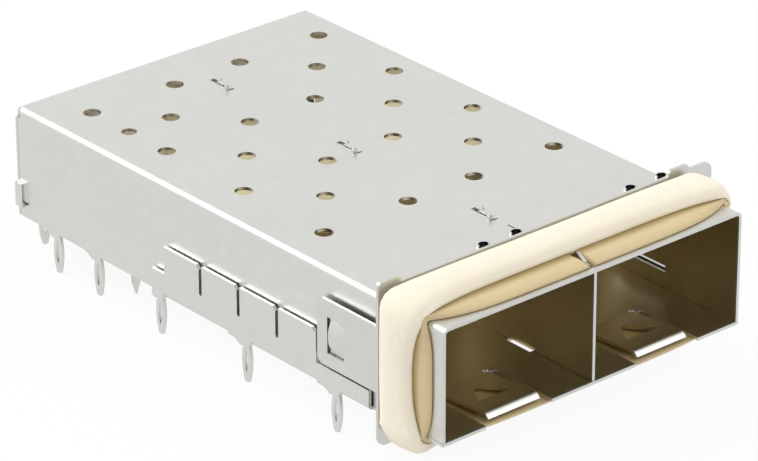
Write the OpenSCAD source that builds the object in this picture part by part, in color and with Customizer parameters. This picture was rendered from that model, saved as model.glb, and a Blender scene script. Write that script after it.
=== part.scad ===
// Press-fit cage with two module bays side by side, folded from thin sheet, with an elastomer gasket.
// +Z is up from the board, Y runs from the nose's front edge to the rear wall, X = 0 is the divider.
// Z = 0 is the top face of the board; most shapes are drawn from the base plate's underside instead.

/* [Cage] */
// Distance between the middles of the two bays
port_pitch = 14.25; // [14:0.05:16]
// Length over the front edge and the rear wall
cage_l = 48.7; // [48:0.1:54]
// Height from the base plate's underside to the top
cage_h = 9.1; // [8.8:0.05:11]
// Thickness of the sheet
sheet_t = 0.25; // [0.2:0.01:0.28]
// Outside radius of the long folds
bend_r = 0.5; // [0.4:0.05:0.8]
// Clearance between sheets that seat on each other
seat_gap = 0.03; // [0.02:0.01:0.05]
// Height of the base plate's underside above the board
stand_off = 0.35; // [0.2:0.05:0.6]

/* [Vents] */
// Diameter of a vent
vent_d = 1.38; // [1:0.02:1.8]
// Distance between neighbouring vent columns
vent_col_pitch = 3.95; // [3:0.05:4.2]
// Distance between the vents of one column
vent_row_pitch = 9; // [7:0.1:9.5]
// Place of the front vents of the outer columns
vent_first_y = 16.9; // [14:0.1:18]
// Sideways shift of the vents from the middle of their bay
vent_shift = 0.45; // [0:0.05:0.6]
// Diameter of the one spare vent of the outermost column
spare_vent_d = 1.2; // [1:0.02:1.6]
// Width of the lance's slits behind the gasket plate
lance_slit_w = 0.12; // [0.08:0.01:0.2]
// Length of the lance's slit along the cage
lance_l = 1.7; // [1.2:0.1:2.6]
// Length of the lance's slit across the cage
lance_w = 1.8; // [1:0.1:2]

/* [Twisted tabs] */
// Length of a tab's slot in the top
tab_slot_l = 2.5; // [2.2:0.1:3]
// Width of a tab's slot
tab_slot_w = 0.42; // [0.38:0.01:0.6]
// Height of a tab above the top
tab_rise = 0.42; // [0.3:0.02:0.8]
// Angle that a tab's end is twisted by
tab_twist = 24; // [10:1:40]
// Length of a tab
tab_l = 1.7; // [1.2:0.1:2]
// Place of the tab on the nose
nose_tab_y = 1.9; // [1.8:0.1:2.4]
// Place of the first tab behind the gasket
body_tab_y = 11.75; // [11:0.05:13]
// Distance between the tabs behind the gasket
body_tab_pitch = 14.9; // [12:0.1:15]

/* [Wall dimples] */
// Diameter of a stiffening dimple
dimple_d = 1.4; // [1:0.1:2]
// Depth of a dimple
dimple_depth = 0.12; // [0.08:0.01:0.16]
// Height of the dimples above the base plate's underside
dimple_z = 6.3; // [5.5:0.1:6.6]
// Place of the front dimple
dimple_first_y = 15.2; // [14.5:0.1:17]
// Distance between dimples
dimple_pitch = 8.95; // [7:0.05:9.5]

/* [Press-fit pins] */
// Length of a pin below the base plate's underside
pin_l = 3.1; // [2.6:0.1:3.6]
// Width of a pin across its eye
pin_w = 1; // [0.9:0.02:1.1]
// Width of the eye
pin_eye_w = 0.38; // [0.3:0.02:0.44]
// Length of the eye
pin_eye_l = 2; // [1.4:0.1:2.2]
// Length of the flared shoulder behind a pin
shoulder_l = 2.1; // [2:0.05:2.2]
// Radius of a shoulder's flare
shoulder_r = 2.3; // [2.2:0.05:2.6]
// Radius of the notch that parts a pin from its shoulder's step
pin_notch_r = 0.09; // [0.06:0.01:0.1]
// Place of the front pins
pin_first_y = 10.95; // [10:0.05:11.5]
// Distance between the pins of the base plate
pin_pitch = 10; // [9.5:0.05:10]
// Place of the rear wall pins, from the middle of their bay
rear_pin_x = 4.85; // [4:0.05:5.2]
// Distance of a side wall's last pin from the rear wall's face
wall_pin_back = 4.8; // [4:0.1:6]
// Distance between the two pins of a side wall
wall_pin_pitch = 5; // [4:0.1:5.5]
// Height of a wall's lower edge above the base plate's underside
wall_lift = 0.1; // [0.05:0.01:0.2]

/* [Rear wall] */
// Height of a wrap tab's lower edge
wrap_z = 0.95; // [0.8:0.05:1.5]
// Height of a wrap tab
wrap_h = 1.95; // [1.4:0.05:2.6]
// Length of a wrap tab along the side wall
wrap_l = 0.85; // [0.6:0.05:1.1]
// Width of the window ahead of a wrap tab
wrap_window_w = 0.5; // [0.3:0.05:0.7]
// Diameter of the relief holes at the rear corners
relief_d = 0.7; // [0.5:0.05:0.9]

/* [Side flaps] */
// Clearance between a side flap and the wall
flap_gap = 0.12; // [0.05:0.01:0.16]
// Place of a flap's front end
flap_front_y = 7.4; // [7.2:0.05:7.8]
// Place of a flap's rear end
flap_rear_y = 30.4; // [29.6:0.1:30.6]
// Height of a flap's fingers
flap_h = 4.2; // [3.8:0.05:4.8]
// Height of a flap below the plate's ear
flap_low_h = 1.6; // [1.4:0.05:1.7]
// Place of the step between the low and the high part
flap_step_y = 13.1; // [13:0.05:13.5]
// Height of the short tongue behind a flap
flap_tongue_h = 2; // [1.6:0.05:2.4]
// Length of the short tongue behind a flap
flap_tongue_l = 1.5; // [1.2:0.05:2]
// Distance between the slots of a flap
finger_pitch = 4.35; // [3.8:0.05:4.5]
// Width of a slot
finger_slot_w = 0.32; // [0.25:0.01:0.45]
// Depth of a slot
finger_slot_h = 2.35; // [1.8:0.05:2.6]
// Size of a finger's cut corner
finger_corner = 0.3; // [0.15:0.05:0.45]
// Outside radius of the fold between the floor and a flap
flap_bend_r = 0.4; // [0.3:0.05:0.45]

/* [Floor] */
// Place of the floor's rear edge
floor_rear_y = 37.4; // [36:0.1:38]
// Place of the front edge of the connector cut-outs
connector_front_y = 32.4; // [32.2:0.1:34]
// Width of a connector cut-out
connector_w = 8.4; // [7.6:0.1:8.6]
// Width of a rear tail
tail_w = 0.7; // [0.6:0.05:0.8]
// Length of the slot beside the divider's foot
foot_slot_l = 2.5; // [1.6:0.1:2.6]
// Width of the slot beside the divider's foot
foot_slot_w = 0.8; // [0.65:0.05:0.9]

/* [Latch tongues] */
// Width of a tongue
tongue_w = 4.84; // [4.2:0.02:5]
// Width of the cut-out round a tongue
tongue_cut_w = 6.2; // [5.8:0.05:7]
// Place of a tongue's root
tongue_root_y = 6.25; // [6:0.05:7]
// Place of the crest, where the lip begins
tongue_crest_y = 1.18; // [1.1:0.02:1.6]
// Height of the crest's upper side
tongue_crest_z = 0.72; // [0.6:0.02:0.9]
// Outside radius of the bend at the crest
tongue_bend_r = 0.7; // [0.5:0.05:0.9]
// Angle that the lip falls by
tongue_lip_angle = 45; // [30:1:50]
// Length of the lip's flat end
tongue_lip_l = 0.23; // [0.1:0.01:0.3]
// Base of the triangular latch hole
latch_hole_w = 3.1; // [2.6:0.05:3.4]
// Length of the latch hole
latch_hole_l = 2.1; // [1.6:0.05:2.4]
// Place of the latch hole's straight side
latch_hole_y = 2.6; // [2.2:0.05:2.9]
// Diameter of the relief holes at a tongue's root
root_relief_d = 0.5; // [0.3:0.05:0.6]

/* [Gasket plate] */
// Place of the plate's front face
plate_y = 6.1; // [6:0.02:6.3]
// Height of the plate above the top
plate_over = 0.95; // [0.7:0.05:1.6]
// Length of the raised part at each upper corner
hump_l = 2.1; // [1.4:0.05:2.6]
// Height of the raised part above the plate's upper edge
hump_h = 0.45; // [0.2:0.05:0.6]
// Reach of the plate below the base plate
plate_under = 2.3; // [1.6:0.05:2.4]
// Reach of the plate beside the walls
plate_side = 0.6; // [0.5:0.02:0.9]
// Corner radius of the plate
plate_corner_r = 0.7; // [0.3:0.05:1]
// Reach of the wing beyond the plate's side
wing_l = 2.3; // [1.6:0.05:2.6]
// Height of the wing
wing_h = 1.9; // [1.4:0.05:2.4]
// Clearance between an ear and the wall
ear_gap = 0.3; // [0.2:0.01:0.32]
// Height of an ear's lower edge
ear_z = 1.9; // [1.85:0.05:2.3]
// Height of an ear
ear_h = 5.2; // [4.4:0.05:5.4]
// Clearance between an ear and the flap's step
ear_step_gap = 0.35; // [0.3:0.01:0.45]
// Corner radius of an ear
ear_corner_r = 0.6; // [0.3:0.05:0.9]
// Diameter of the half-round notches behind the plate
notch_d = 0.8; // [0.6:0.05:1.1]
// Distance of the notches behind the plate's front face
notch_back = 1.7; // [1.3:0.05:2]
// Thickness of the raised rim behind a notch
rim_t = 0.14; // [0.1:0.01:0.2]
// Height of the rim above the top
rim_h = 0.2; // [0.1:0.05:0.5]

/* [Ear latch] */
// Height of the latch's lower shear slot
latch_z = 2.95; // [2.7:0.05:3.3]
// Height of the latch
latch_h = 2.85; // [2.2:0.05:3]
// Length of the latch's lower shear slot
latch_l = 1.8; // [1.4:0.05:2]
// Distance of the latch from the ear's rear edge
latch_back = 1.1; // [0.8:0.05:1.3]
// Width of the upright shear slot
latch_slot_w = 0.4; // [0.3:0.01:0.45]
// Reach of the latch's bulge beyond the ear
latch_bulge = 0.36; // [0.2:0.02:0.4]

/* [Gasket] */
// Reach of the bead beside the nose
bead_side = 1.35; // [1.2:0.05:2.2]
// Reach of the bead above the nose
bead_over = 1.75; // [1.3:0.05:2.4]
// Reach of the bead below the nose
bead_under = 2.1; // [1.5:0.05:2.4]
// Length of the bead along the nose
bead_l = 3.3; // [2.8:0.05:3.4]
// Radius of the bead's front and rear edges
bead_r = 1.05; // [0.8:0.05:1.1]
// Corner radius of the gasket's outline
bead_corner_r = 2.25; // [2.2:0.05:3.4]
// Thickness of the lip
lip_t = 0.5; // [0.3:0.02:0.6]
// Length of the lip ahead of the bead
lip_l = 1.9; // [0.8:0.05:2.2]
// Clearance between the gasket and the metal
gasket_gap = 0.05; // [0.03:0.01:0.1]

/* [Ejector springs] */
// Thickness of a spring
spring_t = 0.2; // [0.15:0.01:0.25]
// Height of a spring's strip
spring_h = 2.6; // [2:0.1:3]
// Distance of a spring's upper edge below the top's inner face
spring_drop = 0.65; // [0.4:0.05:1.2]
// Span of the bow
spring_span = 9; // [8:0.1:9.4]
// Rise of the bow
spring_rise = 2.6; // [2:0.1:3]
// Length of a flat foot
spring_foot_l = 1.1; // [0.8:0.05:1.2]
// Reach of the hooked foot end through the rear wall
spring_hook = 0.6; // [0.5:0.05:0.8]

/* [Hidden] */
$fn = 48;
sides = [-1, 1];
half_w = port_pitch;
half_t = sheet_t / 2;
floor_top = sheet_t + seat_gap;
inner_top = cage_h - sheet_t;
rear_in = cage_l - sheet_t;
wall_in = half_w - sheet_t;
wall_rear = rear_in - seat_gap;
flap_in = half_w + flap_gap;
flap_out = flap_in + sheet_t;
flap_end_y = flap_rear_y + flap_tongue_l;
ear_in = half_w + ear_gap;
ear_out = ear_in + sheet_t;
ear_rear = flap_step_y - ear_step_gap;
latch_y = ear_rear - latch_back;
plate_rear = plate_y + sheet_t;
plate_w = 2 * (half_w + plate_side);
plate_top = cage_h + plate_over;
gasket_rear = plate_y - gasket_gap;
bead_front = gasket_rear - bead_l;
lip_front = bead_front - lip_l;
spring_z = inner_top - spring_drop - spring_h;
body_tabs = [for (i = [0:2]) body_tab_y + i * body_tab_pitch];
top_tabs = concat([nose_tab_y], body_tabs);
base_pins = [for (i = [0:2]) pin_first_y + i * pin_pitch];
wall_pins = [for (i = [0:1]) cage_l - wall_pin_back - i * wall_pin_pitch];
finger_slots = [for (i = [1:3]) flap_step_y + i * finger_pitch];
foot_tabs = [0.95, 3.75]; // middles of the divider's foot tabs
foot_tab_l = 1.5;
foot_slot_y = 6.3; // front end of the slot beside the divider's foot
play = 0.08; // clearance of a tab or pin in its slot
slack = 1; // reach of a cut beyond the sheet that it cuts
round_fn = 96;

module on_board() {
    translate([0, 0, stand_off]) children();
}

module on_side(side) {
    mirror([side < 0 ? 1 : 0, 0, 0]) children();
}

// A flat outline in X and Z, drawn out along Y
module along_y(y0, y1) {
    translate([0, y1, 0]) rotate([90, 0, 0]) linear_extrude(y1 - y0) children();
}

// A flat outline in Y and Z, drawn out along X
module along_x(x0, x1) {
    translate([x0, 0, 0]) rotate([90, 0, 90]) linear_extrude(x1 - x0) children();
}

module box(low, high) {
    translate(low) cube(high - low);
}

// An outline that lies between two corners
module area(low, high) {
    translate(low) square(high - low);
}

// The same with rounded corners
module round_area(low, high, r) {
    area([low[0] + r, low[1]], [high[0] - r, high[1]]);
    area([low[0], low[1] + r], [high[0], high[1] - r]);
    for (x = [low[0] + r, high[0] - r], z = [low[1] + r, high[1] - r]) translate([x, z]) circle(r);
}

// Two arcs that meet in points, upright, about the origin
module lens(length, width) {
    r = (pow(length / 2, 2) + pow(width / 2, 2)) / width;
    intersection() {
        translate([r - width / 2, 0]) circle(r, $fn = round_fn);
        translate([width / 2 - r, 0]) circle(r, $fn = round_fn);
    }
}

// A press-fit pin with its eye, and the flared shoulder behind it; the origin is at the base plate's underside
module pin_outline() {
    belly = -0.44 * pin_l;
    lens_l = 2.5 * (pin_l + belly);
    difference() {
        union() {
            intersection() {
                translate([0, belly]) lens(lens_l, pin_w);
                area([-pin_w, -pin_l], [pin_w, floor_top + wall_lift]);
            }
            difference() {
                area([pin_w / 4, -stand_off], [shoulder_l, floor_top + wall_lift]);
                translate([shoulder_l, wall_lift - shoulder_r]) circle(shoulder_r, $fn = round_fn);
                translate([pin_w / 2 - pin_notch_r / 3, -stand_off]) circle(pin_notch_r);
            }
        }
        translate([0, belly]) lens(pin_eye_l, pin_eye_w);
    }
}

// Stands for each bay's middle
module each_bay() {
    for (side = sides) translate([side * port_pitch / 2, 0, 0]) children();
}

module vents() {
    each_bay() for (column = [-1:1]) {
        middle = column == 0;
        first = vent_first_y + (middle ? vent_row_pitch / 2 : 0);
        for (row = [0:(middle ? 2 : 3)])
            translate([vent_shift + column * vent_col_pitch, first + row * vent_row_pitch, inner_top - slack])
                cylinder(d = vent_d, h = sheet_t + 2 * slack);
    }
    translate([vent_shift - port_pitch / 2 - vent_col_pitch, vent_first_y + 2.5 * vent_row_pitch,
               inner_top - slack])
        cylinder(d = spare_vent_d, h = sheet_t + 2 * slack);
}

// The openings in the top behind the gasket plate
module top_notches() {
    each_bay() for (x = [port_pitch / 4, port_pitch / 2 - notch_d / 2 - 0.05])
        translate([x, plate_y + notch_back, inner_top - slack]) cylinder(d = notch_d, h = sheet_t + 2 * slack);
}

// The sheet raised behind each of them
module notch_rims() {
    each_bay() for (x = [port_pitch / 4, port_pitch / 2 - notch_d / 2 - 0.05]) intersection() {
        translate([x, plate_y + notch_back, inner_top]) cylinder(d = notch_d + 2 * rim_t, h = sheet_t + rim_h);
        box([x - notch_d, plate_y + notch_back, 0], [port_pitch / 2, cage_l, cage_h + slack]);
    }
}

// Two slits that part a small lanced corner from the top
module lance_slits() {
    front = plate_y + notch_back - notch_d / 4;
    box([0, front, inner_top - slack], [lance_slit_w, front + lance_l, cage_h + slack]);
    box([-lance_w, front, inner_top - slack], [lance_slit_w, front + lance_slit_w, cage_h + slack]);
}

module tab_slots() {
    for (y = top_tabs)
        box([-tab_slot_w / 2, y - tab_slot_l / 2, inner_top - slack],
            [tab_slot_w / 2, y + tab_slot_l / 2, cage_h + slack]);
}

module channel_outline(w, top, bottom, r) {
    area([-w / 2, bottom], [w / 2, top - r]);
    area([r - w / 2, bottom], [w / 2 - r, top]);
    for (side = sides) translate([side * (w / 2 - r), top - r]) circle(r);
}

// Ends in a rounded upper corner at the rear
module rear_outline(rear, top, r) {
    area([-2 * slack, -2 * slack], [rear - r, top]);
    area([-2 * slack, -2 * slack], [rear, top - r]);
    translate([rear - r, top - r]) circle(r);
}

// The top, the side walls and the rear wall as one closed hood
module hood() {
    difference() {
        intersection() {
            along_y(0, cage_l) channel_outline(2 * half_w, cage_h, wall_lift, bend_r);
            along_x(-half_w - slack, half_w + slack) rear_outline(cage_l, cage_h, bend_r);
        }
        intersection() {
            along_y(-slack, rear_in) channel_outline(2 * wall_in, inner_top, -slack, bend_r - sheet_t);
            along_x(-half_w, half_w) rear_outline(rear_in, inner_top, bend_r - sheet_t);
        }
    }
}

// What parts the side walls from the rear wall, with a relief hole at each upper corner
module rear_seams() {
    seam_top = cage_h - bend_r;
    for (side = sides) on_side(side) {
        box([wall_in - seat_gap, wall_rear, -slack], [half_w + slack, rear_in, seam_top]);
        translate([half_w, rear_in, seam_top - relief_d / 2]) cylinder(d = relief_d, h = bend_r + slack);
    }
}

// The rear wall's tabs, folded forward over the side walls
module wrap_tabs() {
    tab_in = half_w + seat_gap;
    wrap_top = wrap_z + wrap_h;
    for (side = sides) on_side(side) {
        along_y(rear_in, cage_l) area([wall_in, wrap_z], [tab_in + sheet_t, wrap_top]);
        along_x(tab_in, tab_in + sheet_t)
            round_area([cage_l - wrap_l, wrap_z], [cage_l, wrap_top], sheet_t / 2);
    }
}

// The windows of one side wall: for the wrap tab, behind the flap's slots and behind the gap round the ear
module wall_windows() {
    margin = 0.12;
    wrap_front = cage_l - wrap_l - wrap_window_w;
    along_x(wall_in - slack, half_w + slack) {
        round_area([wrap_front, wrap_z + wrap_window_w / 2], [rear_in, wrap_z + wrap_h], wrap_window_w / 2);
        for (y = finger_slots)
            area([y - finger_slot_w / 2 - margin, flap_h - finger_slot_h + margin],
                 [y + finger_slot_w / 2 + margin, flap_h - margin]);
        area([ear_rear - margin, flap_low_h - margin], [flap_step_y + margin, flap_h - margin]);
        area([flap_front_y, flap_low_h - margin], [flap_step_y, ear_z + margin]);
    }
}

module dimples(reach) {
    dimple_r = (pow(dimple_d / 2, 2) + pow(dimple_depth, 2)) / (2 * dimple_depth);
    for (side = sides, i = [0:3])
        on_side(side) translate([half_w - dimple_depth + dimple_r, dimple_first_y + i * dimple_pitch, dimple_z])
            sphere(dimple_r + reach, $fn = round_fn);
}

module cage_cover() {
    color("gainsboro") on_board() difference() {
        union() {
            difference() {
                union() {
                    hood();
                    notch_rims();
                    intersection() {
                        dimples(sheet_t);
                        box([-half_w, 0, 0], [half_w, cage_l, inner_top]);
                    }
                }
                rear_seams();
                box([-half_w - slack, -slack, -slack], [half_w + slack, flap_end_y + seat_gap, floor_top]);
                for (side = sides) on_side(side) wall_windows();
            }
            wrap_tabs();
            for (side = sides, y = wall_pins)
                on_side(side) along_x(wall_in, half_w) translate([y, 0]) pin_outline();
            each_bay() for (x = [-rear_pin_x, rear_pin_x]) along_y(rear_in, cage_l) translate([x, 0]) pin_outline();
        }
        dimples(0);
        vents();
        top_notches();
        lance_slits();
        tab_slots();
        spring_slots();
    }
}

// The side view of a flap, with its fingers, short rear tongue and pins
module flap_outline() {
    difference() {
        union() {
            area([flap_front_y, 0], [flap_step_y + sheet_t, flap_low_h]);
            area([flap_step_y, 0], [flap_rear_y, flap_h]);
            area([flap_rear_y - sheet_t, 0], [flap_end_y, flap_tongue_h]);
            intersection() {
                for (y = base_pins) translate([y, 0]) pin_outline();
                area([flap_front_y, -pin_l], [flap_end_y, flap_h]);
            }
        }
        for (y = finger_slots) translate([y, flap_h - finger_slot_h]) {
            area([-finger_slot_w / 2, finger_slot_w / 2], [finger_slot_w / 2, finger_slot_h + slack]);
            translate([0, finger_slot_w / 2]) circle(d = finger_slot_w);
        }
        for (y = concat([flap_step_y], finger_slots)) translate([y + finger_slot_w / 2, flap_h])
            rotate(45) square(finger_corner * 1.414, center = true);
    }
}

// The side view of a latch tongue: root, slope, bent crest and the lip in front
module tongue_outline() {
    rise = atan((tongue_crest_z - sheet_t) / (tongue_root_y - tongue_crest_y));
    bend = [tongue_crest_y, tongue_crest_z - tongue_bend_r];
    inner_r = tongue_bend_r - sheet_t;
    back = [sin(rise), cos(rise)];
    fore = [-sin(tongue_lip_angle), cos(tongue_lip_angle)];
    down = tongue_lip_l * [-cos(tongue_lip_angle), -sin(tongue_lip_angle)];
    polygon([[tongue_root_y + sheet_t, 0], [tongue_root_y + sheet_t, sheet_t], [tongue_root_y, sheet_t],
             bend + tongue_bend_r * back, bend + inner_r * back, [tongue_root_y, 0]]);
    intersection() {
        translate(bend) difference() {
            circle(tongue_bend_r, $fn = round_fn);
            circle(inner_r, $fn = round_fn);
        }
        polygon([bend, bend + slack * 2 * back, bend + slack * 2 * (back + fore), bend + slack * 2 * fore]);
    }
    polygon([bend + tongue_bend_r * fore, bend + tongue_bend_r * fore + down, bend + inner_r * fore + down,
             bend + inner_r * fore]);
}

module latch_hole() {
    translate([0, latch_hole_y, -slack]) linear_extrude(2 + slack)
        polygon([[-latch_hole_w / 2, 0], [latch_hole_w / 2, 0], [0.2, latch_hole_l], [-0.2, latch_hole_l]]);
}

module floor_outline() {
    area([-half_w, 0], [half_w, flap_front_y]);
    area([-flap_out, flap_front_y], [flap_out, flap_end_y]);
    area([-wall_in + seat_gap, flap_front_y], [wall_in - seat_gap, floor_rear_y]);
}

// What the rounded folds leave out under the flaps, ahead of each pin
module fold_cuts() {
    starts = concat([flap_front_y - slack], [for (y = base_pins) y + shoulder_l]);
    for (side = sides, i = [0:2]) on_side(side)
        along_y(starts[i], base_pins[i] - pin_w / 2) difference() {
            area([flap_out - flap_bend_r, -slack], [flap_out + slack, flap_bend_r]);
            translate([flap_out - flap_bend_r, flap_bend_r]) circle(flap_bend_r);
        }
}

// The slots that the divider's feet and pins pass through
module divider_slots() {
    slot_w = sheet_t + 2 * play;
    for (y = foot_tabs)
        area([-slot_w / 2, y - foot_tab_l / 2 - play], [slot_w / 2, y + foot_tab_l / 2 + play]);
    area([-foot_slot_w / 2, foot_slot_y], [foot_slot_w / 2, foot_slot_y + foot_slot_l]);
    for (y = base_pins)
        area([-slot_w / 2, y - pin_w / 2 - play], [slot_w / 2, y + shoulder_l + play]);
}

module rear_tail() {
    along_y(floor_rear_y - sheet_t, floor_rear_y)
        polygon([[-tail_w / 2, sheet_t], [-tail_w / 2, 0], [-tail_w / 2, wall_lift - pin_l * 0.7], [0, -pin_l],
                 [tail_w / 2, wall_lift - pin_l * 0.7], [tail_w / 2, sheet_t]]);
}

module base_plate() {
    color("silver") on_board() difference() {
        union() {
            linear_extrude(sheet_t) difference() {
                floor_outline();
                divider_slots();
                each_bay() {
                    area([-tongue_cut_w / 2, -slack], [tongue_cut_w / 2, tongue_root_y]);
                    area([-connector_w / 2, connector_front_y], [connector_w / 2, floor_rear_y + slack]);
                }
            }
            each_bay() {
                along_x(-tongue_w / 2, tongue_w / 2) tongue_outline();
                for (x = [-rear_pin_x, rear_pin_x]) translate([x, 0, 0]) rear_tail();
            }
            for (side = sides) on_side(side) along_x(flap_in, flap_out) flap_outline();
        }
        fold_cuts();
        each_bay() {
            latch_hole();
            for (side = sides) translate([side * tongue_w / 2, tongue_root_y, -slack])
                cylinder(d = root_relief_d, h = 2 * slack);
        }
    }
}

// The end of a tab, twisted over the top
module twisted_end(y) {
    translate([0, y, cage_h + seat_gap]) rotate(-tab_twist)
        translate([-half_t, -tab_l / 2, 0]) cube([sheet_t, tab_l, tab_rise - seat_gap]);
}

module divider() {
    stem_back = (tab_slot_l - tab_l) / 2 - play; // a stem stands at the front end of its slot
    color("lightgray") on_board() {
        along_x(-half_t, half_t) {
            area([play, floor_top], [wall_rear, inner_top - seat_gap - bend_r]);
            area([play, floor_top], [wall_rear - bend_r, inner_top - seat_gap]);
            for (y = top_tabs)
                area([y - stem_back - tab_l / 2, inner_top - sheet_t], [y - stem_back + tab_l / 2, cage_h + 2 * seat_gap]);
            for (y = foot_tabs) area([y - foot_tab_l / 2, 0], [y + foot_tab_l / 2, floor_top + sheet_t]);
            for (y = concat(base_pins, wall_pins)) translate([y, 0]) pin_outline();
        }
        for (y = top_tabs) twisted_end(y - stem_back);
    }
}

// The front view of the gasket plate, with its wing
module plate_outline() {
    wing_out = half_w + plate_side + wing_l;
    difference() {
        union() {
            round_area([-plate_w / 2, -plate_under], [plate_w / 2, plate_top], plate_corner_r);
            for (side = sides) on_side(side)
                round_area([plate_w / 2 - hump_l, cage_h], [plate_w / 2, plate_top + hump_h], plate_corner_r / 2);
            round_area([plate_w / 2 - wing_l, plate_top - wing_h], [wing_out, plate_top], plate_corner_r);
        }
        area([-half_w - seat_gap, -seat_gap], [half_w + seat_gap, cage_h + seat_gap]);
        for (side = sides) translate([side * half_w, -seat_gap - sheet_t]) circle(2 * sheet_t);
    }
}

// The side view of an ear, with the two shear slots of its latch
module ear_outline() {
    difference() {
        union() {
            round_area([plate_y + sheet_t, ear_z], [ear_rear, ear_z + ear_h], ear_corner_r);
            area([plate_y, ear_z], [plate_y + ear_corner_r + sheet_t, ear_z + ear_h]);
        }
        area([latch_y - latch_slot_w, latch_z], [latch_y, latch_z + latch_h]);
        area([latch_y - latch_l, latch_z], [latch_y, latch_z + sheet_t]);
    }
}

// The bulged sheet of an ear's latch, sheared off at its rear and lower edges
module latch_dome(grow) {
    chord = latch_h - 0.3;
    dome_r = (pow(chord / 2, 2) + pow(latch_bulge, 2)) / (2 * latch_bulge);
    translate([ear_out + latch_bulge - dome_r, latch_y - latch_slot_w - chord / 4, latch_z + sheet_t + chord / 2])
        sphere(dome_r + grow, $fn = round_fn);
}

module ear() {
    difference() {
        union() {
            along_x(ear_in, ear_out) ear_outline();
            intersection() {
                latch_dome(0);
                box([ear_in, latch_y - 2 * latch_l, latch_z + sheet_t],
                    [ear_out + slack, latch_y - latch_slot_w, ear_z + ear_h - ear_corner_r]);
            }
        }
        latch_dome(-sheet_t);
    }
}

module gasket_plate() {
    color("silver") on_board() {
        along_y(plate_y, plate_rear) plate_outline();
        for (side = sides) on_side(side) ear();
    }
}

// Section of the bead from a corner's axis outwards, along the nose
module bead_section() {
    area([0, bead_front], [bead_corner_r - bead_r, gasket_rear]);
    area([0, bead_front + bead_r], [bead_corner_r, gasket_rear - bead_r]);
    for (y = [bead_front + bead_r, gasket_rear - bead_r]) translate([bead_corner_r - bead_r, y]) circle(bead_r);
}

module gasket() {
    reach_x = half_w + bead_side - bead_corner_r;
    top_z = cage_h + bead_over - bead_corner_r;
    low_z = bead_corner_r - bead_under;
    color("wheat") on_board() difference() {
        union() {
            for (side = sides, z = [low_z, top_z])
                translate([side * reach_x, 0, z]) rotate([-90, 0, 0]) rotate_extrude() bead_section();
            for (side = sides) on_side(side)
                translate([reach_x, 0, low_z]) linear_extrude(top_z - low_z) bead_section();
            for (z = [low_z, top_z]) translate([-reach_x, 0, z]) rotate([0, z > low_z ? -90 : 90, 0])
                translate([0, 0, z > low_z ? -2 * reach_x : 0]) linear_extrude(2 * reach_x) bead_section();
            along_y(lip_front, gasket_rear - bead_r)
                round_area([-half_w - lip_t, -lip_t], [half_w + lip_t, cage_h + lip_t], 2 * lip_t);
        }
        box([-half_w - gasket_gap, lip_front - slack, -gasket_gap],
            [half_w + gasket_gap, gasket_rear + slack, cage_h + gasket_gap]);
        box([-tab_l / 2, lip_front - slack, inner_top],
            [tab_l / 2, nose_tab_y + tab_slot_l / 2, cage_h + tab_rise + 2 * gasket_gap]);
    }
}

// Bow and feet of an ejector spring, seen from above
module spring_outline() {
    bow_r = (pow(spring_span / 2, 2) + pow(spring_rise, 2)) / (2 * spring_rise);
    foot_y = wall_rear - spring_t;
    difference() {
        translate([0, foot_y + bow_r - spring_rise]) difference() {
            circle(bow_r, $fn = round_fn);
            circle(bow_r - spring_t, $fn = round_fn);
        }
        area([-bow_r - slack, foot_y + spring_t], [bow_r + slack, foot_y + 2 * bow_r + slack]);
    }
    for (side = sides) mirror([side < 0 ? 1 : 0, 0]) {
        area([spring_span / 2 - spring_t, foot_y], [spring_span / 2 + spring_foot_l, wall_rear]);
        area([spring_span / 2 + spring_foot_l - spring_t, foot_y], [spring_span / 2 + spring_foot_l, cage_l + spring_t]);
    }
}

// The rear wall's slots for the hooked feet of the springs
module spring_slots() {
    each_bay() for (side = sides)
        translate([side * (spring_span / 2 + spring_foot_l - spring_t / 2), 0, 0])
            box([-spring_t / 2 - play, rear_in - slack / 2, spring_z + spring_h / 2 - spring_hook - play],
                [spring_t / 2 + play, cage_l + slack, spring_z + spring_h / 2 + spring_hook + play]);
}

module ejector_spring(side) {
    color("darkgray") on_board() translate([side * port_pitch / 2, 0, 0]) {
        intersection() {
            translate([0, 0, spring_z]) linear_extrude(spring_h) spring_outline();
            union() {
                box([-half_w, 0, spring_z], [half_w, wall_rear, spring_z + spring_h]);
                box([-half_w, 0, spring_z + spring_h / 2 - spring_hook],
                    [half_w, cage_l + slack, spring_z + spring_h / 2 + spring_hook]);
            }
        }
    }
}

module ejector_spring_left() {
    ejector_spring(-1);
}

module ejector_spring_right() {
    ejector_spring(1);
}

cage_cover();
base_plate();
divider();
gasket_plate();
gasket();
ejector_spring_left();
ejector_spring_right();
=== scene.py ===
import math

import bpy
from mathutils import Matrix, Vector


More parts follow.
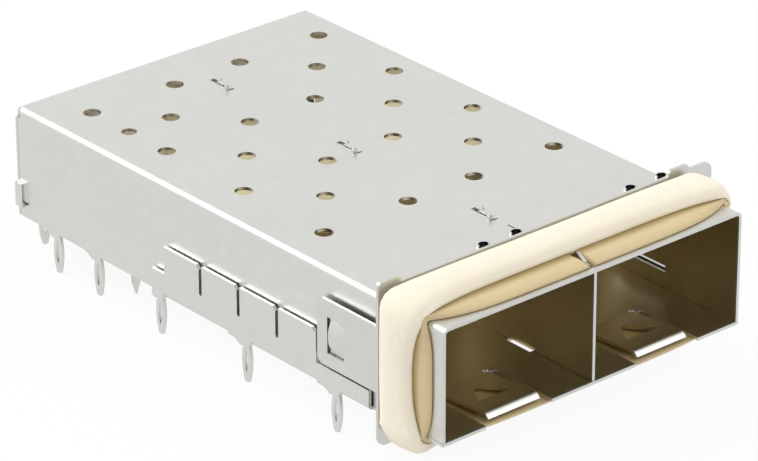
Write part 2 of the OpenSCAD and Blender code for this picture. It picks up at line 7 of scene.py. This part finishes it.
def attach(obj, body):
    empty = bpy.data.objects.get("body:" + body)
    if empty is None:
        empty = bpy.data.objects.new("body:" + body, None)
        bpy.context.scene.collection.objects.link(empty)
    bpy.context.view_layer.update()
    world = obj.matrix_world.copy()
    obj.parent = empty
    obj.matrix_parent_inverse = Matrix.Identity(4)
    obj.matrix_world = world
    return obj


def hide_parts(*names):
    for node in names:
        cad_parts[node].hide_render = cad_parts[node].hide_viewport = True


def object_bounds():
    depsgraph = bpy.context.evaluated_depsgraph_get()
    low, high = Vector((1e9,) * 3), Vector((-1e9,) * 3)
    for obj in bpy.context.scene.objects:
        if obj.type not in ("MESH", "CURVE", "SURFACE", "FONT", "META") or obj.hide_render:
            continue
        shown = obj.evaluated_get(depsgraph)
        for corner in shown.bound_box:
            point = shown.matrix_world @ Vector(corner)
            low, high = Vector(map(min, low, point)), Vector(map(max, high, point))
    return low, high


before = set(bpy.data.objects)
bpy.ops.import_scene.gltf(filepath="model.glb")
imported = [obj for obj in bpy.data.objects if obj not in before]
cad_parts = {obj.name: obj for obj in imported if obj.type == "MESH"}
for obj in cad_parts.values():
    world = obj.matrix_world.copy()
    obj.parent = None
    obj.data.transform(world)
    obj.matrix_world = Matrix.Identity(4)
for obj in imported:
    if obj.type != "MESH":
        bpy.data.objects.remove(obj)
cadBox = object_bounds()
mm = 0.001
print("frame loaded:", len(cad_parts), "nodes")


cameraView = {
    "azimuth": -40.648,  # degrees, 0 looks along +Y
    "elevation": 26.053,
    "roll": -0.085,
    "distance": 338.477 * mm,
    "target": (0.0, 22.0 * mm, 5.35 * mm),
    "slide": (-0.757 * mm, -1.091 * mm),  # target moved right and up in the view
    "lens": 218.98,
    "sensor": 36.0,
    "shift": (-0.00163, 0.00306),
    "clip": (0.005, 20.0),
}


def addCamera(view):
    turn, lift = math.radians(view["azimuth"]), math.radians(view["elevation"])
    level = math.cos(lift)
    back = Vector((math.sin(turn) * level, -math.cos(turn) * level, math.sin(lift)))
    right = Vector((math.cos(turn), math.sin(turn), 0.0))
    up = back.cross(right)
    target = Vector(view["target"]) + view["slide"][0] * right + view["slide"][1] * up
    pose = Matrix((right, up, back)).transposed().to_4x4()
    pose = pose @ Matrix.Rotation(math.radians(view["roll"]), 4, "Z")
    pose.translation = target + view["distance"] * back
    data = bpy.data.cameras.new("camera")
    data.lens = view["lens"]
    data.sensor_width = view["sensor"]
    data.shift_x, data.shift_y = view["shift"]
    data.clip_start, data.clip_end = view["clip"]
    camera = bpy.data.objects.new("camera", data)
    camera.matrix_world = pose
    bpy.context.scene.collection.objects.link(camera)
    bpy.context.scene.camera = camera


addCamera(cameraView)
print("camera placed")


def addNode(tree, kind, settings=None, **inputs):
    node = tree.nodes.new(kind)
    for name, value in (settings or {}).items():
        setattr(node, name, value)
    for name, value in inputs.items():
        plug(tree, node, name.replace("_", " "), value)
    return node


def plug(tree, node, name, value):
    # value is a socket to link or a plain value; name is a socket's name or its number
    socket = node.inputs[int(name)] if str(name).strip().isdigit() else node.inputs[name]
    if isinstance(value, bpy.types.NodeSocket):
        tree.links.new(value, socket)
    elif isinstance(value, bpy.types.Node):
        tree.links.new(value.outputs[0], socket)
    else:
        socket.default_value = value
    return node


def doMath(tree, operation, *values, clamp=False):
    node = addNode(tree, "ShaderNodeMath", {"operation": operation, "use_clamp": clamp})
    for place, value in enumerate(values):
        plug(tree, node, place, value)
    return node.outputs[0]


def stepBetween(tree, value, low, high, outLow=0.0, outHigh=1.0):
    node = addNode(tree, "ShaderNodeMapRange", {"interpolation_type": "SMOOTHSTEP"})
    for place, entry in enumerate((value, low, high, outLow, outHigh)):
        plug(tree, node, place, entry)
    return node.outputs[0]


def mixColours(tree, factor, first, second):
    node = addNode(tree, "ShaderNodeMix", {"data_type": "RGBA"})
    plug(tree, node, 0, factor)
    plug(tree, node, 6, first)
    plug(tree, node, 7, second)
    return node.outputs[2]


def objectSpot(tree):
    return addNode(tree, "ShaderNodeTexCoord").outputs["Object"]


def splitAxes(tree, vector):
    return addNode(tree, "ShaderNodeSeparateXYZ", Vector=vector).outputs


def addNoise(tree, spot, look):
    scale, detail, roughness = look
    node = addNode(tree, "ShaderNodeTexNoise", Vector=spot, Scale=scale, Detail=detail,
                   Roughness=roughness)
    return node.outputs[0]


def aroundZero(tree, value):
    return doMath(tree, "SUBTRACT", value, 0.5)


def newGroup(name, inputs, outputs):
    group = bpy.data.node_groups.new(name, "ShaderNodeTree")
    for label, value in inputs.items():
        socket = group.interface.new_socket(label, in_out="INPUT", socket_type="NodeSocketFloat")
        socket.default_value = value
    for label, kind in outputs.items():
        group.interface.new_socket(label, in_out="OUTPUT", socket_type=kind)
    source = group.nodes.new("NodeGroupInput")
    sink = group.nodes.new("NodeGroupOutput")
    return group, source.outputs, sink


def useGroup(tree, group, **values):
    return addNode(tree, "ShaderNodeGroup", {"node_tree": group}, **values).outputs


def grey(value):
    return (value, value, value, 1.0)


grainLook = {
    "grain": (900.0, 3.0, 0.6),  # a noise's scale, detail and roughness
    "clouds": (170.0, 4.0, 0.55),
    "fleck": (2600.0, 2.0, 0.7),
    "fleckTone": 0.6,  # share of the grain's tone
    "cloudRough": 0.5,
    "grainRough": 0.6,
    "fleckHeight": 0.7,
    "relief": 0.02 * mm,
}


def makeRolledGrain(look):
    # fine matt grain and cloudy plating
    group, given, sink = newGroup(
        "rolledGrain",
        {"Grain": 0.5, "Clouds": 0.5, "Bump": 0.5},
        {"Tone": "NodeSocketFloat", "Roughness": "NodeSocketFloat", "Normal": "NodeSocketVector"},
    )
    spot = objectSpot(group)
    grain = aroundZero(group, addNoise(group, spot, look["grain"]))
    cloud = aroundZero(group, addNoise(group, spot, look["clouds"]))
    fleck = aroundZero(group, addNoise(group, spot, look["fleck"]))
    tone = doMath(group, "MULTIPLY", grain, given["Grain"])
    tone = doMath(group, "MULTIPLY_ADD", cloud, given["Clouds"], tone)
    fleckShare = doMath(group, "MULTIPLY", given["Grain"], look["fleckTone"])
    plug(group, sink, "Tone", doMath(group, "MULTIPLY_ADD", fleck, fleckShare, tone))
    rough = doMath(group, "MULTIPLY", grain, look["grainRough"])
    rough = doMath(group, "MULTIPLY_ADD", cloud, look["cloudRough"], rough)
    plug(group, sink, "Roughness", rough)
    height = doMath(group, "MULTIPLY_ADD", fleck, look["fleckHeight"], grain)
    bump = addNode(group, "ShaderNodeBump", Strength=given["Bump"], Distance=look["relief"],
                   Height=height)
    plug(group, sink, "Normal", bump.outputs[0])
    return group


bayRoom = {
    "Half Width": 14.0 * mm,
    "Floor": 0.5 * mm,
    "Top": 9.0 * mm,
    "Front": 0.2 * mm,
    "Rear": 48.4 * mm,
    "Soft": 0.05 * mm,
}
tongueLip = {
    "fullAt": -0.4,  # forward slope of a face that counts fully as the lip
    "noneAt": -0.2,
    "rear": 3.0 * mm,
}


def makeInsideMask(room, lip):
    # 1 on the sheet's faces inside the bays, 0 outside them and on the tongues' lips; it marks
    # where the painted brownish shade and the lower roughness go
    group, given, sink = newGroup("insideMask", room, {"Inside": "NodeSocketFloat"})
    spot = splitAxes(group, objectSpot(group))
    aside = doMath(group, "ABSOLUTE", spot[0])
    soft = given["Soft"]
    gaps = (
        doMath(group, "SUBTRACT", given["Half Width"], aside),
        doMath(group, "SUBTRACT", spot[2], given["Floor"]),
        doMath(group, "SUBTRACT", given["Top"], spot[2]),
        doMath(group, "SUBTRACT", spot[1], given["Front"]),
        doMath(group, "SUBTRACT", given["Rear"], spot[1]),
    )
    least = gaps[0]
    for gap in gaps[1:]:
        least = doMath(group, "MINIMUM", least, gap)
    inside = doMath(group, "DIVIDE", doMath(group, "ADD", least, soft), soft, clamp=True)
    facing = splitAxes(group, addNode(group, "ShaderNodeTexCoord").outputs["Normal"])
    forward = stepBetween(group, facing[1], lip["fullAt"], lip["noneAt"], 1.0, 0.0)
    nearFront = doMath(group, "LESS_THAN", spot[1], lip["rear"])
    notLip = doMath(group, "SUBTRACT", 1.0, doMath(group, "MULTIPLY", forward, nearFront))
    plug(group, sink, "Inside", doMath(group, "MULTIPLY", inside, notLip))
    return group


notchHoles = {
    "bayCentre": 7.125 * mm,
    "offsets": (3.5625 * mm, 6.675 * mm),
    "depth": 7.8 * mm,
    "radius": 0.406 * mm,
    "above": 9.1 * mm,
}


def makeNotchMask(holes):
    # 1 on the walls of the round notches behind the gasket plate, which get a painted black shadow
    group, given, sink = newGroup(
        "notchShadeMask", {"Radius": holes["radius"]}, {"Notch": "NodeSocketFloat"})
    spot = splitAxes(group, objectSpot(group))
    onTop = doMath(group, "GREATER_THAN", spot[2], holes["above"])
    along = doMath(group, "SUBTRACT", spot[1], holes["depth"])
    alongSquare = doMath(group, "MULTIPLY", along, along)
    total = None
    for side in (-1, 1):
        for offset in holes["offsets"]:
            across = doMath(group, "SUBTRACT", spot[0], side * holes["bayCentre"] + offset)
            square = doMath(group, "ADD", doMath(group, "MULTIPLY", across, across), alongSquare)
            near = doMath(group, "LESS_THAN", doMath(group, "SQRT", square), given["Radius"])
            near = doMath(group, "MULTIPLY", near, onTop)
            total = near if total is None else doMath(group, "MAXIMUM", total, near)
    plug(group, sink, "Notch", total)
    return group


rolledGrain = makeRolledGrain(grainLook)
insideMask = makeInsideMask(bayRoom, tongueLip)
notchShadeMask = makeNotchMask(notchHoles)


def newMaterial(name):
    material = bpy.data.materials.new(name)
    material.use_nodes = True
    tree = material.node_tree
    return material, tree, tree.nodes["Principled BSDF"]


sheetFinish = {
    "outside": (0.66, 0.66, 0.63, 1.0),
    # painted shade: a darker brownish colour for the bays' inner faces
    "inside": (0.72, 0.62, 0.40, 1.0),
    # painted shadow: near-black on the round notches' walls
    "notch": grey(0.02),
    "roughOutside": 0.36,
    "roughInside": 0.32,
    "wear": 0.12,  # how far the grain changes the roughness
    "grain": 0.10,
    "clouds": 0.07,
    "bump": 0.35,
}


def makeSheetMetal(name, finish, tint=1.0, masked=True):
    material, tree, shader = newMaterial(name)
    texture = useGroup(tree, rolledGrain, Grain=finish["grain"], Clouds=finish["clouds"],
                       Bump=finish["bump"])
    outside = tuple(channel * tint for channel in finish["outside"][:3]) + (1.0,)
    if masked:
        # painted shade: the bays' inner faces take the brownish inside colour
        inside = useGroup(tree, insideMask)["Inside"]
        colour = mixColours(tree, inside, outside, finish["inside"])
        # painted shadow inside the round notches
        notch = useGroup(tree, notchShadeMask)["Notch"]
        colour = mixColours(tree, notch, colour, finish["notch"])
        rough = stepBetween(tree, inside, 0.0, 1.0, finish["roughOutside"], finish["roughInside"])
    else:
        colour, rough = outside, finish["roughOutside"]
    shade = addNode(tree, "ShaderNodeHueSaturation", Color=colour)
    plug(tree, shade, "Value", doMath(tree, "ADD", texture["Tone"], 1.0))
    plug(tree, shader, "Base Color", shade.outputs[0])
    shader.inputs["Metallic"].default_value = 1.0
    worn = doMath(tree, "MULTIPLY_ADD", texture["Roughness"], finish["wear"], rough)
    plug(tree, shader, "Roughness", worn)
    plug(tree, shader, "Normal", texture["Normal"])
    return material


gasketFinish = {
    "bead": (0.84, 0.775, 0.635, 1.0),
    # painted shade: the lip's tan and the crease's brown stand for the bead's shade on the cream
    # elastomer
    "lip": (0.62, 0.50, 0.29, 1.0),
    "crease": (0.40, 0.29, 0.12, 1.0),
    # painted shadow beside the nose's tab
    "tab": (0.22, 0.12, 0.05, 1.0),
    "creaseShadeFade": 0.55,  # share of the lip over which the crease's painted shade fades
    "rough": 0.66,
    "specular": 0.35,
    "subsurface": 0.15,
    "scatter": (0.8 * mm, 0.5 * mm, 0.25 * mm),
    "mottle": (2200.0, 4.0, 0.7),  # a noise's scale, detail and roughness
    "mottleTone": 0.16,
    "patches": (240.0, 3.0, 0.5),
    "patchTone": 0.10,
    "pores": (2600.0, 3.0, 0.6),
    "poreBump": 0.35,
    "poreRelief": 0.03 * mm,
}


def makeElastomer(name, finish):
    material, tree, shader = newMaterial(name)
    spot = objectSpot(tree)
    lip, ahead, shadow = (
        addNode(tree, "ShaderNodeAttribute", {"attribute_name": label}).outputs["Fac"]
        for label in ("lipShare", "lipAhead", "tabShadow")
    )
    # painted shade: crease brown fading into lip tan where the bead shades the lip
    onLip = stepBetween(tree, ahead, 0.0, finish["creaseShadeFade"])
    lipShadeColour = mixColours(tree, onLip, finish["crease"], finish["lip"])
    colour = mixColours(tree, lip, finish["bead"], lipShadeColour)
    colour = mixColours(tree, shadow, colour, finish["tab"])
    shade = addNode(tree, "ShaderNodeHueSaturation", Color=colour)
    tone = 1.0
    for noise, strength in (("mottle", "mottleTone"), ("patches", "patchTone")):
        change = aroundZero(tree, addNoise(tree, spot, finish[noise]))
        tone = doMath(tree, "MULTIPLY_ADD", change, finish[strength], tone)
    plug(tree, shade, "Value", tone)
    plug(tree, shader, "Base Color", shade.outputs[0])
    shader.inputs["Roughness"].default_value = finish["rough"]
    shader.inputs["Specular IOR Level"].default_value = finish["specular"]
    shader.inputs["Subsurface Weight"].default_value = finish["subsurface"]
    shader.inputs["Subsurface Radius"].default_value = finish["scatter"]
    shader.inputs["Subsurface Scale"].default_value = 1.0
    bump = addNode(tree, "ShaderNodeBump", Strength=finish["poreBump"],
                   Distance=finish["poreRelief"], Height=addNoise(tree, spot, finish["pores"]))
    plug(tree, shader, "Normal", bump.outputs[0])
    return material


sheetMetal = makeSheetMetal("satinSheet", sheetFinish)
plateMetal = makeSheetMetal("plateSheet", sheetFinish, tint=0.97, masked=False)
springMetal = makeSheetMetal("springStrip", sheetFinish, tint=0.85, masked=False)
elastomer = makeElastomer("creamElastomer", gasketFinish)
print("materials made")


def dress(nodeName, material):
    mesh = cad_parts[nodeName].data
    mesh.materials.clear()
    mesh.materials.append(material)


for nodeName, material in {
    "cage_cover": sheetMetal,
    "base_plate": sheetMetal,
    "divider": sheetMetal,
    "gasket_plate": plateMetal,
    "ejector_spring_left": springMetal,
    "ejector_spring_right": springMetal,
}.items():
    dress(nodeName, material)
print("sheet metal dressed")


gasketShape = {
    "noseHalfWidth": 14.26 * mm,
    "noseLow": 0.34 * mm,
    "noseHigh": 9.46 * mm,
    "railRadius": 0.35 * mm,
    "stations": 460,
    "rear": 5.98 * mm,
    "lipThick": 0.42 * mm,
    "reachSide": 1.18 * mm,  # bead's reach outwards from the nose
    "reachTop": 1.42 * mm,
    "reachUnder": 1.75 * mm,
    "frontSide": 1.05 * mm,  # lip's front edge half-way along a side
    "frontTop": 0.40 * mm,
    "frontUnder": 0.35 * mm,
    "frontCorner": 1.80 * mm,
    "creaseSide": 2.74 * mm,  # where the bead meets the lip
    "creaseTop": 2.52 * mm,
    "creaseCorner": 1.70 * mm,
    "waviness": 0.10 * mm,
    "tabWidth": 0.30 * mm,  # half of the gap that the nose's tab stands in
}
sweepBlend = {
    "toTop": (-0.3, 0.3),  # upward slope over which the underside's sizes become the top's
    "toSide": (0.2, 0.8),  # squared sideways slope over which they become the side's
    "flatPower": 6.0,  # how late a corner's sizes set in
    "frontPower": 4.0,
    "creasePower": 2.5,
    "leastLip": 0.08 * mm,
    "lipMargin": 1.1,
    "waves": (110.0, 2.0, 0.5),
    "waveStart": 0.5 * mm,
    "waveGain": 2.0,
    "tabPower": 4.0,
    "tabDepth": 0.92,
    # points this near the nose take the lip's painted shade
    "innerFace": 0.1 * mm,
}


def roundedLoop(halfWidth, low, high, radius, steps=8):
    # corner points of a rounded rectangle, counter-clockwise
    points = []
    for centreX, centreY, start in (
        (halfWidth - radius, high - radius, 0), (radius - halfWidth, high - radius, 90),
        (radius - halfWidth, low + radius, 180), (halfWidth - radius, low + radius, 270),
    ):
        for step in range(steps + 1):
            angle = math.radians(start + 90 * step / steps)
            points.append((centreX + radius * math.cos(angle), centreY + radius * math.sin(angle)))
    return points


def smoothClosed(points, perPart=5):
    # Catmull-Rom through the given section points
    count = len(points)
    smooth = []
    for index in range(count):
        before, here, there, after = (Vector(points[(index + k) % count]) for k in (-1, 0, 1, 2))
        square = 2 * before - 5 * here + 4 * there - after
        cube = 3 * here - before - 3 * there + after
        for step in range(perPart):
            t = step / perPart
            line = 2 * here + (there - before) * t
            smooth.append(0.5 * (line + square * t * t + cube * t ** 3))
    return smooth


def curveObject(name, points):
    data = bpy.data.curves.new(name, "CURVE")
    data.dimensions = "3D"
    data.twist_mode = "Z_UP"
    spline = data.splines.new("POLY")
    spline.points.add(len(points) - 1)
    for entry, point in zip(spline.points, points):
        entry.co = (point[0], point[1], 0.0, 1.0)
    spline.use_cyclic_u = True
    made = bpy.data.objects.new(name, data)
    bpy.context.scene.collection.objects.link(made)
    return made


def gasketSection(shape):
    # (outwards from the nose, towards the rear) of the section half-way along the top
    front, crease, rear = shape["frontTop"], shape["creaseTop"], shape["rear"]
    thick, reach = shape["lipThick"], shape["reachTop"]
    middle = (crease + rear) / 2
    return [
        (0.02 * mm, front + 0.25 * mm),
        (0.05 * mm, front),
        (thick * 0.5, front + 0.05 * mm),
        (thick * 0.85, front + 0.45 * mm),
        (thick, (front + crease) / 2),
        (thick * 0.96, crease - 0.10 * mm),
        (thick * 1.25, crease - 0.10 * mm),
        (reach * 0.55, crease - 0.04 * mm),
        (reach * 0.82, crease + 0.32 * mm),
        (reach * 0.96, crease + 0.95 * mm),
        (reach, middle + 0.1 * mm),
        (reach * 0.93, rear - 0.95 * mm),
        (reach * 0.74, rear - 0.35 * mm),
        (reach * 0.42, rear - 0.05 * mm),
        (0.05 * mm, rear),
        (0.02 * mm, crease),
    ]


def makeGasketTree(profile, material, labels, look):
    tree = bpy.data.node_groups.new("gasketSweep", "GeometryNodeTree")
    tree.interface.new_socket("Rail", in_out="INPUT", socket_type="NodeSocketGeometry")
    for label in labels:
        tree.interface.new_socket(label, in_out="INPUT", socket_type="NodeSocketFloat")
    tree.interface.new_socket("Ring", in_out="OUTPUT", socket_type="NodeSocketGeometry")
    given = tree.nodes.new("NodeGroupInput").outputs
    sink = tree.nodes.new("NodeGroupOutput")

    def vectorAttribute(name):
        return addNode(tree, "GeometryNodeInputNamedAttribute", {"data_type": "FLOAT_VECTOR"},
                       Name=name).outputs[0]

    def keep(geometry, name, value, kind="FLOAT"):
        return addNode(tree, "GeometryNodeStoreNamedAttribute", {"data_type": kind},
                       Geometry=geometry, Name=name, Value=value).outputs[0]

    def blend(share, first, second):
        return addNode(tree, "ShaderNodeMapRange", {"clamp": True}, Value=share, To_Min=first,
                       To_Max=second).outputs[0]

    def add(first, second):
        return doMath(tree, "ADD", first, second)

    def less(first, second):
        return doMath(tree, "SUBTRACT", first, second)

    def times(first, second):
        return doMath(tree, "MULTIPLY", first, second)

    def share(first, second, clamp=False):
        return doMath(tree, "DIVIDE", first, second, clamp=clamp)

    rail = addNode(tree, "GeometryNodeResampleCurve", Curve=given["Rail"],
                   Count=given["Stations"]).outputs[0]
    normal = addNode(tree, "GeometryNodeInputNormal").outputs[0]
    rail = keep(rail, "outwards", normal, "FLOAT_VECTOR")
    section = addNode(tree, "GeometryNodeObjectInfo", Object=profile).outputs["Geometry"]
    place = addNode(tree, "GeometryNodeInputPosition").outputs[0]
    section = keep(section, "section", place, "FLOAT_VECTOR")
    sweep = addNode(tree, "GeometryNodeCurveToMesh", Curve=rail)
    plug(tree, sweep, "Profile Curve", section)
    plug(tree, sweep, "Fill Caps", False)

    where = splitAxes(tree, place)
    facing = splitAxes(tree, vectorAttribute("outwards"))
    drawn = splitAxes(tree, vectorAttribute("section"))
    out, depth = drawn[0], drawn[1]

    # which side of the nose a point lies on, and how near to a corner
    aside = times(facing[0], facing[0])
    above = stepBetween(tree, facing[1], *look["toTop"])
    halfHigh = times(less(given["Nose High"], given["Nose Low"]), 0.5)
    middle = add(given["Nose Low"], halfHigh)
    along = share(doMath(tree, "ABSOLUTE", where[0]), given["Nose Half Width"], clamp=True)
    upright = share(doMath(tree, "ABSOLUTE", less(where[1], middle)), halfHigh, clamp=True)
    isSide = stepBetween(tree, aside, *look["toSide"])
    flatCorner = doMath(tree, "POWER", along, look["flatPower"])
    frontCorner = blend(isSide, flatCorner, doMath(tree, "POWER", upright, look["frontPower"]))
    creaseCorner = blend(isSide, flatCorner, doMath(tree, "POWER", upright, look["creasePower"]))
    frontFlat = blend(above, given["Front Under"], given["Front Top"])
    frontMiddle = blend(isSide, frontFlat, given["Front Side"])
    front = blend(frontCorner, frontMiddle, given["Front Corner"])
    creaseMiddle = blend(isSide, given["Crease Top"], given["Crease Side"])
    crease = blend(creaseCorner, creaseMiddle, given["Crease Corner"])
    crease = doMath(tree, "MAXIMUM", crease, add(front, look["leastLip"]))
    reachFlat = blend(above, given["Reach Under"], given["Reach Top"])
    reach = blend(aside, reachFlat, given["Reach Side"])

    # the drawn section is stretched to this point's front edge, crease and reach
    lipLength = less(given["Crease Top"], given["Front Top"])
    ahead = doMath(tree, "MAXIMUM", share(less(given["Crease Top"], depth), lipLength), 0.0)
    lipDepth = less(crease, times(ahead, less(crease, front)))
    beadScale = share(less(given["Rear"], crease), less(given["Rear"], given["Crease Top"]))
    beadDepth = less(given["Rear"], times(less(given["Rear"], depth), beadScale))
    isLip = doMath(tree, "GREATER_THAN", ahead, 0.0)
    isLow = doMath(tree, "LESS_THAN", out, times(given["Lip Thick"], look["lipMargin"]))
    onLip = times(isLip, isLow)
    newDepth = blend(onLip, beadDepth, lipDepth)
    proud = doMath(tree, "MAXIMUM", less(out, given["Lip Thick"]), 0.0)
    reachScale = share(less(reach, given["Lip Thick"]),
                       less(given["Reach Top"], given["Lip Thick"]))
    grow = times(proud, less(reachScale, 1.0))
    swell = times(aroundZero(tree, addNoise(tree, place, look["waves"])), given["Waviness"])
    onBead = stepBetween(tree, proud, 0.0, look["waveStart"], 0.0, look["waveGain"])
    grow = doMath(tree, "MULTIPLY_ADD", swell, onBead, grow)

    # the lip parts round the tab on the nose
    bell = doMath(tree, "ABSOLUTE", share(where[0], given["Tab Width"]))
    bell = times(doMath(tree, "POWER", bell, look["tabPower"]), -1.0)
    bell = doMath(tree, "EXPONENT", bell)
    onTop = times(above, less(1.0, isSide))
    notch = times(bell, times(onTop, onLip))
    grow = less(grow, times(notch, times(out, look["tabDepth"])))

    moved = addNode(tree, "ShaderNodeCombineXYZ", Z=less(depth, newDepth)).outputs[0]
    scaled = addNode(tree, "ShaderNodeVectorMath", {"operation": "SCALE"},
                     Vector=vectorAttribute("outwards"), Scale=grow).outputs[0]
    offset = addNode(tree, "ShaderNodeVectorMath", {"operation": "ADD"})
    plug(tree, offset, 0, moved)
    plug(tree, offset, 1, scaled)
    # the ring's inner face also takes the lip's painted shade
    innerFace = doMath(tree, "LESS_THAN", out, look["innerFace"])
    ring = keep(sweep.outputs[0], "lipShare", doMath(tree, "MAXIMUM", onLip, innerFace))
    ring = keep(ring, "lipAhead", times(ahead, onLip))
    ring = keep(ring, "tabShadow", notch)
    ring = addNode(tree, "GeometryNodeSetPosition", Geometry=ring, Offset=offset).outputs[0]
    ring = addNode(tree, "GeometryNodeTransform", Geometry=ring)
    ring.inputs["Rotation"].default_value = (math.radians(90), 0.0, 0.0)
    smooth = addNode(tree, "GeometryNodeSetShadeSmooth", Geometry=ring.outputs[0])
    real = addNode(tree, "GeometryNodeRealizeInstances", Geometry=smooth.outputs[0])
    finish = addNode(tree, "GeometryNodeSetMaterial", Geometry=real.outputs[0], Material=material)
    plug(tree, sink, "Ring", finish.outputs[0])
    return tree


def spacedName(name):
    # "reachTop" becomes "Reach Top"
    return "".join(" " + letter if letter.isupper() else letter for letter in name).title()


def makeGasket(shape, look, material):
    loop = roundedLoop(shape["noseHalfWidth"], shape["noseLow"], shape["noseHigh"],
                       shape["railRadius"])
    rail = curveObject("gasketRail", loop)
    profile = curveObject("gasketProfile", smoothClosed(gasketSection(shape)))
    sizes = {spacedName(name): value for name, value in shape.items() if name != "railRadius"}
    tree = makeGasketTree(profile, material, list(sizes), look)
    modifier = rail.modifiers.new("sweep", "NODES")
    modifier.node_group = tree
    for item in tree.interface.items_tree:
        if item.in_out == "INPUT" and item.name in sizes:
            modifier[item.identifier] = float(sizes[item.name])
    evaluated = rail.evaluated_get(bpy.context.evaluated_depsgraph_get())
    mesh = bpy.data.meshes.new_from_object(evaluated)
    mesh.name = "gasketRing"
    rail.modifiers.remove(modifier)
    gasket = bpy.data.objects.new("gasketRing", mesh)
    bpy.context.scene.collection.objects.link(gasket)
    bpy.data.objects.remove(rail)
    bpy.data.objects.remove(profile)
    return gasket


gasket = makeGasket(gasketShape, sweepBlend, elastomer)
print("gasket swept:", len(gasket.data.polygons), "faces")
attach(gasket, "root")
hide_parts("gasket")


studio = {
    "floorRadius": 3.0,
    "floorTone": 0.82,
    "floorRough": 0.9,
    "floorShown": 0.93,  # share of the floor's white that no shadow reaches
    "worldTone": 0.80,
    "aim": (0.0, 0.022, 0.005),
}


def seenDirectly(tree):
    rays = addNode(tree, "ShaderNodeLightPath").outputs
    mirrored = doMath(tree, "MAXIMUM", rays["Is Glossy Ray"], rays["Is Transmission Ray"])
    return doMath(tree, "MAXIMUM", rays["Is Camera Ray"], mirrored)


def makeFloor(settings):
    material, tree, shader = newMaterial("paleFloor")
    shader.inputs["Base Color"].default_value = grey(settings["floorTone"])
    shader.inputs["Roughness"].default_value = settings["floorRough"]
    shader.inputs["Specular IOR Level"].default_value = 0.0
    white = addNode(tree, "ShaderNodeEmission")
    white.inputs["Color"].default_value = grey(1.0)
    white.inputs["Strength"].default_value = 1.0
    both = addNode(tree, "ShaderNodeMixShader")
    plug(tree, both, 0, doMath(tree, "MULTIPLY", seenDirectly(tree), settings["floorShown"]))
    plug(tree, both, 1, shader.outputs[0])
    plug(tree, both, 2, white.outputs[0])
    plug(tree, tree.nodes["Material Output"], "Surface", both.outputs[0])
    radius, level = settings["floorRadius"], cadBox[0][2]
    corners = [(x * radius, y * radius, level) for x, y in ((-1, -1), (1, -1), (1, 1), (-1, 1))]
    mesh = bpy.data.meshes.new("paleFloor")
    mesh.from_pydata(corners, [], [(0, 1, 2, 3)])
    mesh.materials.append(material)
    floor = bpy.data.objects.new("paleFloor", mesh)
    bpy.context.scene.collection.objects.link(floor)


def makeWorld(settings):
    world = bpy.data.worlds.new("studio")
    world.use_nodes = True
    bpy.context.scene.world = world
    tree = world.node_tree
    background = tree.nodes["Background"]
    background.inputs["Color"].default_value = grey(1.0)
    strength = stepBetween(tree, seenDirectly(tree), 0.0, 1.0, settings["worldTone"], 1.0)
    plug(tree, background, "Strength", strength)


softBoxes = {
    "backLeft": {"place": (-0.35, 0.75, 0.65), "size": 0.5, "power": 6.0},
    "frontRight": {"place": (0.55, -0.45, 0.55), "size": 0.9, "power": 2.0},
}


def addSoftBox(name, box, target):
    data = bpy.data.lights.new(name, "AREA")
    data.shape = "SQUARE"
    data.size = box["size"]
    data.energy = box["power"]
    lamp = bpy.data.objects.new(name, data)
    place = Vector(box["place"])
    lamp.location = place
    lamp.rotation_euler = (Vector(target) - place).to_track_quat("-Z", "Y").to_euler()
    bpy.context.scene.collection.objects.link(lamp)


makeFloor(studio)
makeWorld(studio)
for name, box in softBoxes.items():
    addSoftBox(name, box, studio["aim"])
bpy.context.scene.view_settings.view_transform = "Standard"
print("studio lit")
